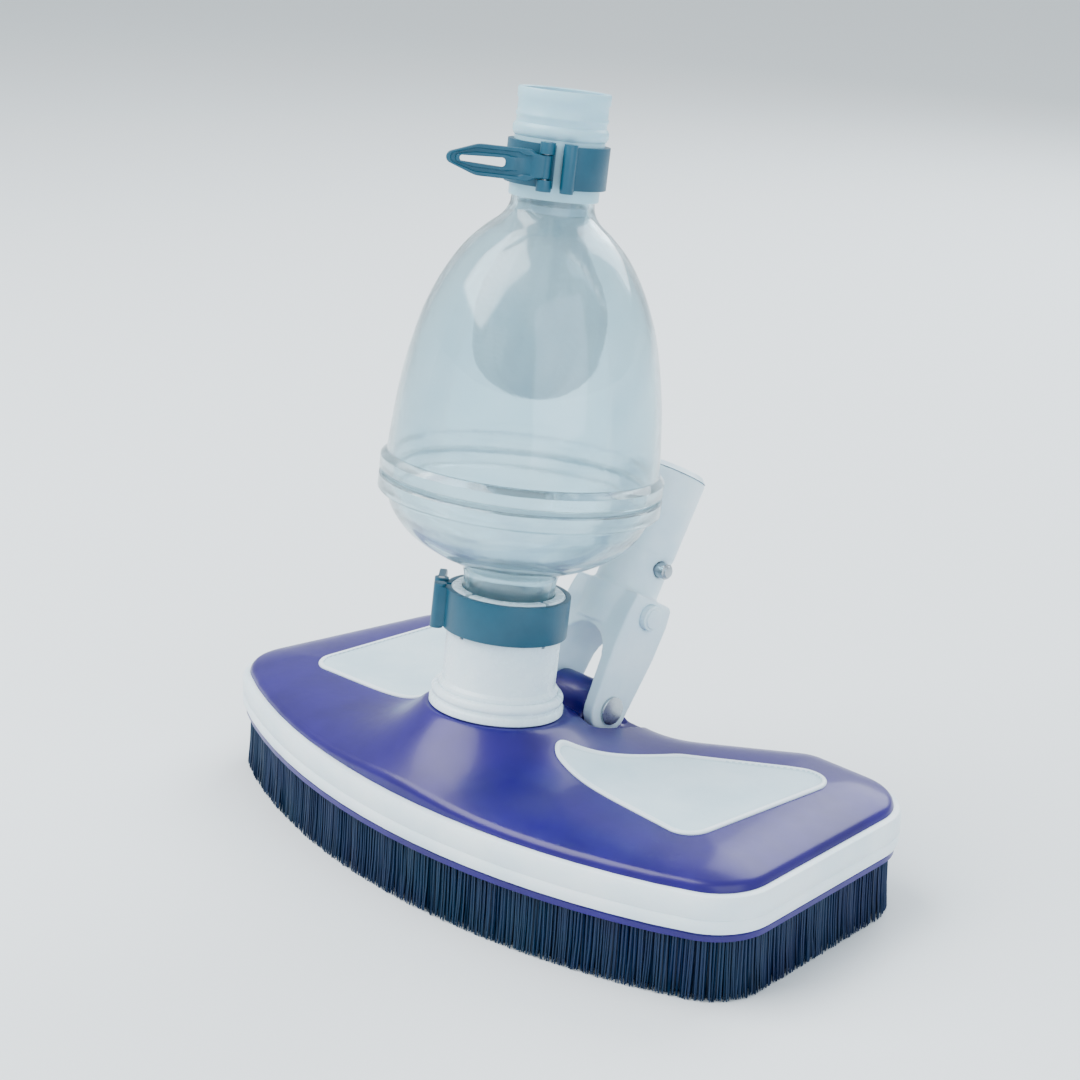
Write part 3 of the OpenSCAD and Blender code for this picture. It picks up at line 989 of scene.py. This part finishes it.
@dataclass
class Trap:
    """The tilted spigot with the debris trap, the hose cuff and the mesh bag. Sizes in millimetres."""

    origin: Point3 = (0.0, -26.0, 62.0)
    tilt_deg: float = 6.0
    shell_steps: int = 144
    cloth: float = 0.4
    cut_width: float = 155.0
    cloth_area: float = 0.0

    def place(self, x: float, y: float, s: float) -> Point3:
        """Turns places on the spigot's axis into the row frame.

        Args:
            x: across the axis, to the right.
            y: across the axis, to the back.
            s: along the axis from the cover's boss.

        Returns:
            The place in the row frame.
        """
        sin, cos = math.sin(math.radians(self.tilt_deg)), math.cos(math.radians(self.tilt_deg))
        return x, self.origin[1] + y * cos + s * sin, self.origin[2] + s * cos - y * sin

    def collar(self) -> bpy.types.Object:
        """Builds the stepped collar at the foot of the spigot.

        Returns:
            The collar.
        """
        profile = [(22.8, 0.15), (25.0, 0.15), (25.5, 0.6), (25.5, 2.6), (25.1, 3.2), (24.5, 3.5), (24.4, 4.4)]
        profile += [(24.9, 4.9), (25.1, 5.5), (25.0, 6.6), (24.4, 7.5), (23.6, 7.95), (22.8, 8.0)]
        return revolve("spigot_collar", profile, self.place)

    def bowl(self) -> bpy.types.Object:
        """Builds the trap's lower shell with its neck and its seam flange.

        Returns:
            The lower shell.
        """
        outer = curve_through(
            [(17.3, 50.0), (18.6, 54.0), (23.5, 57.0), (31.5, 60.5), (40.0, 66.0), (46.2, 73.0), (49.4, 80.5)], 6
        )
        outer = [(17.3, 20.4), (17.3, 44.0), *outer, (52.0, 80.9), (52.5, 81.6), (52.5, 86.4), (52.1, 86.9)]
        inner = curve_through(
            [(47.1, 80.0), (44.4, 74.4), (38.7, 68.0), (30.4, 62.6), (22.0, 58.8), (16.6, 55.0), (15.3, 50.0)], 6
        )
        inner = [(47.1, 86.9), *inner, (15.3, 20.4)]
        return revolve("trap_lower_shell", outer + inner, self.place, self.shell_steps)

    def dome(self) -> bpy.types.Object:
        """Builds the trap's upper shell with its seam flange and its outlet neck.

        Returns:
            The upper shell.
        """
        outer = [(50.4, 95.6), (49.6, 106.0), (48.2, 120.0), (45.8, 134.0), (42.3, 148.0), (37.0, 161.0)]
        outer += [(30.4, 172.0), (23.4, 179.6), (18.0, 184.2), (15.6, 188.0), (15.0, 192.5)]
        inner = [(13.0, 191.5), (13.4, 186.6), (16.4, 182.4), (22.0, 178.0), (28.8, 170.4), (35.2, 159.8)]
        inner += [(40.4, 147.2), (43.8, 133.6), (46.2, 119.8), (47.6, 105.8), (48.2, 95.6)]
        flange = [(47.0, 88.6), (52.1, 88.6), (52.5, 89.1), (52.5, 93.4), (51.9, 94.2)]
        profile = [*flange, *curve_through(outer, 6), (15.0, 213.6), (14.7, 214.0), (13.1, 214.0)]
        profile += [*curve_through(inner, 6), (47.0, 94.0)]
        return revolve("trap_upper_shell", profile, self.place, self.shell_steps)

    def bag(self) -> bpy.types.Object:
        """Builds the pleated mesh bag that hangs in the trap, and measures its cloth.

        Returns:
            The bag.
        """
        profile = curve_through(
            [(0.3, 119.0), (9.0, 120.5), (17.0, 125.0), (22.3, 132.0), (24.0, 141.0), (23.8, 151.0), (21.0, 161.0),
             (16.2, 171.0), (12.6, 179.5), (11.8, 186.2)],
            7,
        )

        def pleat(radius: float, height: float, angle: float) -> float:
            """Draws the bag's soft folds, deepest at its middle.

            Args:
                radius: distance from the axis.
                height: place along the axis.
                angle: place round the axis.

            Returns:
                The change of radius.
            """
            deep = smoothstep(4.0, 16.0, radius) * smoothstep(186.0, 170.0, height)
            return deep * (0.9 * math.sin(9 * angle + height * 0.05) + 0.5 * math.sin(17 * angle - height * 0.11) - 0.8)

        item = revolve("debris_bag_mesh", profile, self.place, 180, pleat, closed=False)
        self.cloth_area = sum(face.area for face in item.data.polygons)
        thick = item.modifiers.new("cloth", "SOLIDIFY")
        thick.thickness = self.cloth * MM
        thick.offset = 0.0
        return item

    def cuff(self) -> bpy.types.Object:
        """Builds the soft cuff that the upper clamp holds on the trap's outlet.

        Returns:
            The cuff.
        """
        profile = [(15.1, 192.0), (16.1, 192.0), (16.3, 192.4), (16.3, 213.0), (16.7, 213.5), (17.2, 214.4)]
        profile += [(17.2, 216.4), (16.7, 217.3), (16.2, 217.8), (16.2, 219.6), (16.6, 220.2), (16.6, 221.0)]
        profile += [(16.2, 221.6), (16.2, 225.6), (16.7, 226.4), (16.7, 229.4), (16.4, 229.95), (15.5, 229.95)]
        profile += [(15.1, 229.6)]
        return revolve("hose_cuff_soft", profile, self.place, 128)

    def build(self) -> None:
        """Builds and dresses the spigot, the trap and what is in it."""
        settle(refined("spigot_tube", "spigot", 0.35), "head", "white_plastic", SPIGOT_PP, "spigot")
        settle(self.collar(), "head", "white_plastic", SPIGOT_PP, "spigot_ring")
        settle(self.bowl(), "head", "trap_clear", TRAP_PET, "trap_bowl")
        settle(self.dome(), "dome", "trap_clear", TRAP_PET, "trap_dome")
        bag = settle(self.bag(), "dome", "bag_mesh", BAG_MESH, "debris_bag")
        width = self.cut_width * MM
        length = round(self.cloth_area / width + 0.0005, 4)
        LOG.info("bag cut: %.4f by %.4f m, %.6f square metres", width, length, self.cloth_area)
        settle(self.cuff(), "dome", "cuff_plastic", CUFF_PVC, "hose_cuff")
        dress_nodes(SEAL_NBR, "neck_seal")
        dress_nodes(SEAL_SILICONE, "seam_seal")
        dress_nodes(SPIGOT_PP, "bag_ring")


# ---- clamps and yoke -------------------------------------------------------


@dataclass
class Clamp:
    """One band clamp with its pin and its loop lever. Sizes in millimetres."""

    where: str
    parent: str
    trap: Trap
    band_r: float
    level: float
    turn_deg: float
    hinge_out: float = 3.9
    hinge_side: float = 4.4
    edge: float = 0.45
    points: int = 120

    def place(self, x: float, y: float, z: float) -> Point3:
        """Turns places from the lever's hinge into the row frame.

        Args:
            x: outwards from the hinge.
            y: along the band, towards the band's far side where positive.
            z: along the spigot's axis.

        Returns:
            The place in the row frame.
        """
        turn = math.radians(self.turn_deg)
        out, side = self.band_r + self.hinge_out + x, y - self.hinge_side
        return self.trap.place(
            out * math.cos(turn) - side * math.sin(turn),
            out * math.sin(turn) + side * math.cos(turn),
            self.level + z,
        )

    def loop(self) -> bpy.types.Object:
        """Builds the pointed loop: a raised rim round a sunken web with a long slot.

        Returns:
            The loop.
        """
        half = [(0.0, 0.0, 0.0), (0.0, 4.1, 0.5), (-3.4, 4.1, 1.2), (-5.6, 5.5, 1.8), (-24.0, 5.5, 9.0)]
        other = [(y, -z, r) for y, z, r in reversed(half[1:])]
        outer = evenly(fillet([*half, (-38.9, 0.0, 2.2), *other], 8), self.points)
        slot = [(-14.0, 0.0, 0.0), (-14.0, 1.7, 1.4), (-30.0, 1.0, 0.8)]
        other = [(y, -z, r) for y, z, r in reversed(slot[1:])]
        inner = evenly(fillet([*slot, *other], 8), self.points)
        blends = [(0.03, -0.75), (0.0, -0.4), (0.0, 1.5), (0.03, 1.85), (0.07, 1.98), (0.24, 1.98), (0.3, 1.85)]
        blends += [(0.36, 1.3), (0.66, 1.3), (0.72, 1.85), (0.78, 1.98), (0.94, 1.98), (0.98, 1.85), (1.0, 1.5)]
        blends += [(1.0, -0.4), (0.97, -0.75)]
        rings = [[self.place(lift, *Vector(a).lerp(Vector(b), t)) for a, b in zip(outer, inner)] for t, lift in blends]
        return loft(f"{self.where}_clamp_loop", rings, wrap=True)

    def barrel(self) -> bpy.types.Object:
        """Builds the lever's hinge barrel."""
        profile = [(1.27, -4.2), (1.7, -4.2), (2.0, -3.9), (2.0, 3.9), (1.7, 4.2), (1.27, 4.2)]
        return revolve(f"{self.where}_clamp_barrel", profile, self.place, 48)

    def build(self) -> None:
        """Builds and dresses the clamp."""
        band = refined(f"{self.where}_clamp_strap", f"{self.where}_clamp_band", self.edge)
        settle(band, self.parent, "clamp_plastic", CLAMP_NYLON, f"{self.where}_clamp_band")
        body = f"{self.where}_lever"
        settle(self.loop(), body, "clamp_plastic", CLAMP_NYLON, f"{self.where}_clamp_lever")
        settle(self.barrel(), body, "clamp_plastic", CLAMP_NYLON)
        dress_nodes(STEEL, f"{self.where}_clamp_pin")


@dataclass
class Yoke:
    """The hinged yoke, its pin and its pole catch."""

    voxel: float = 0.7
    passes: int = 9

    def build(self) -> None:
        """Builds and dresses the yoke and what is on it."""
        settle(moulded("yoke_moulding", "yoke", self.voxel, self.passes), "yoke", "yoke_plastic", YOKE_ABS, "yoke")
        for side in ("left", "right"):
            button = refined(f"press_button_{side}", f"release_button_{side}", 0.5)
            settle(button, f"catch_{side}", "yoke_plastic", YOKE_ABS, f"release_button_{side}")
            pin = refined(f"catch_pin_{side}", f"snap_pin_{side}", 0.4)
            settle(pin, f"catch_{side}", "steel", STEEL, f"snap_pin_{side}")
        cap = refined("hinge_cap_round", "hinge_cap", 0.3)
        settle(cap, "yoke", "yoke_plastic", YOKE_ABS, "hinge_cap")
        pin = refined("hinge_pin_round", "hinge_pin", 0.3)
        settle(pin, "yoke", "steel", STEEL, "hinge_pin")
        dress_nodes(YOKE_ABS, "shank_plug")
        dress_nodes(STEEL, "clip_bend", "clip_leg_left", "clip_leg_right")


# ---- studio ----------------------------------------------------------------


@dataclass
class Studio:
    """The pale floor, the soft lights and the camera. Places in metres."""

    eye: Point3 = (0.569, -0.557, 0.384)
    aim: Point3 = (0.0, -0.006, 0.124)
    lens_mm: float = 74.0
    roll_deg: float = 2.2
    floor_hex: str = "e6eaec"

    def floor(self) -> None:
        """Lays the plain floor."""
        mesh = bpy.data.meshes.new("studio_floor")
        mesh.from_pydata([(-30, -30, 0), (30, -30, 0), (30, 30, 0), (-30, 30, 0)], [], [[0, 1, 2, 3]])
        item = bpy.data.objects.new("studio_floor", mesh)
        bpy.context.scene.collection.objects.link(item)
        made = bpy.data.materials.new("studio_floor_pale")
        made.use_nodes = True
        shader = made.node_tree.nodes["Principled BSDF"]
        shader.inputs["Base Color"].default_value = linear(self.floor_hex)
        shader.inputs["Roughness"].default_value = 0.9
        item.data.materials.append(made)

    def light(self, name: str, place: Point3, size: float, watts: float, hex_code: str) -> None:
        """Hangs one soft square light that looks at the object.

        Args:
            name: the light's name.
            place: where it hangs, in metres.
            size: the square's side, in metres.
            watts: its power.
            hex_code: its colour.
        """
        data = bpy.data.lights.new(name, "AREA")
        data.shape = "SQUARE"
        data.size = size
        data.energy = watts
        data.color = linear(hex_code)[:3]
        item = bpy.data.objects.new(name, data)
        item.location = place
        item.rotation_euler = (Vector(self.aim) - Vector(place)).to_track_quat("-Z", "Y").to_euler()
        bpy.context.scene.collection.objects.link(item)

    def camera(self) -> None:
        """Places the camera."""
        data = bpy.data.cameras.new("camera")
        data.lens = self.lens_mm
        data.sensor_width = 36.0
        data.clip_start = 0.01
        item = bpy.data.objects.new("camera", data)
        gaze = (Vector(self.aim) - Vector(self.eye)).to_track_quat("-Z", "Y").to_matrix().to_4x4()
        roll = Matrix.Rotation(math.radians(self.roll_deg), 4, "Z")
        item.matrix_world = Matrix.Translation(self.eye) @ gaze @ roll
        bpy.context.scene.collection.objects.link(item)
        bpy.context.scene.camera = item

    def build(self) -> None:
        """Builds the floor, the lights, the sky and the camera."""
        self.floor()
        self.light("key", (-0.7, -0.9, 1.7), 1.6, 40.0, "ffffff")
        self.light("fill", (1.6, -0.5, 0.9), 1.6, 12.0, "eef6ff")
        self.light("rim", (-0.3, 1.6, 1.3), 1.5, 24.0, "f4faff")
        world = bpy.data.worlds.new("studio_sky")
        world.use_nodes = True
        world.node_tree.nodes["Background"].inputs["Color"].default_value = linear("e4ebef")
        world.node_tree.nodes["Background"].inputs["Strength"].default_value = 0.95
        bpy.context.scene.world = world
        bpy.context.scene.view_settings.view_transform = "AgX"
        bpy.context.scene.view_settings.look = "AgX - Medium High Contrast"
        self.camera()


def main() -> None:
    """Builds every sub-assembly in order."""
    logging.basicConfig(level=logging.INFO, format="%(name)s: %(message)s")
    Studio().build()
    trap = Trap()
    lower = Clamp("lower", "head", trap, band_r=21.55, level=38.0, turn_deg=225.0)
    upper = Clamp("upper", "dome", trap, band_r=16.4, level=204.0, turn_deg=317.0)
    for assembly in (Head(), trap, lower, upper, Yoke()):
        LOG.info("building %s", type(assembly).__name__)
        assembly.build()


if __name__ == "__main__":
    main()
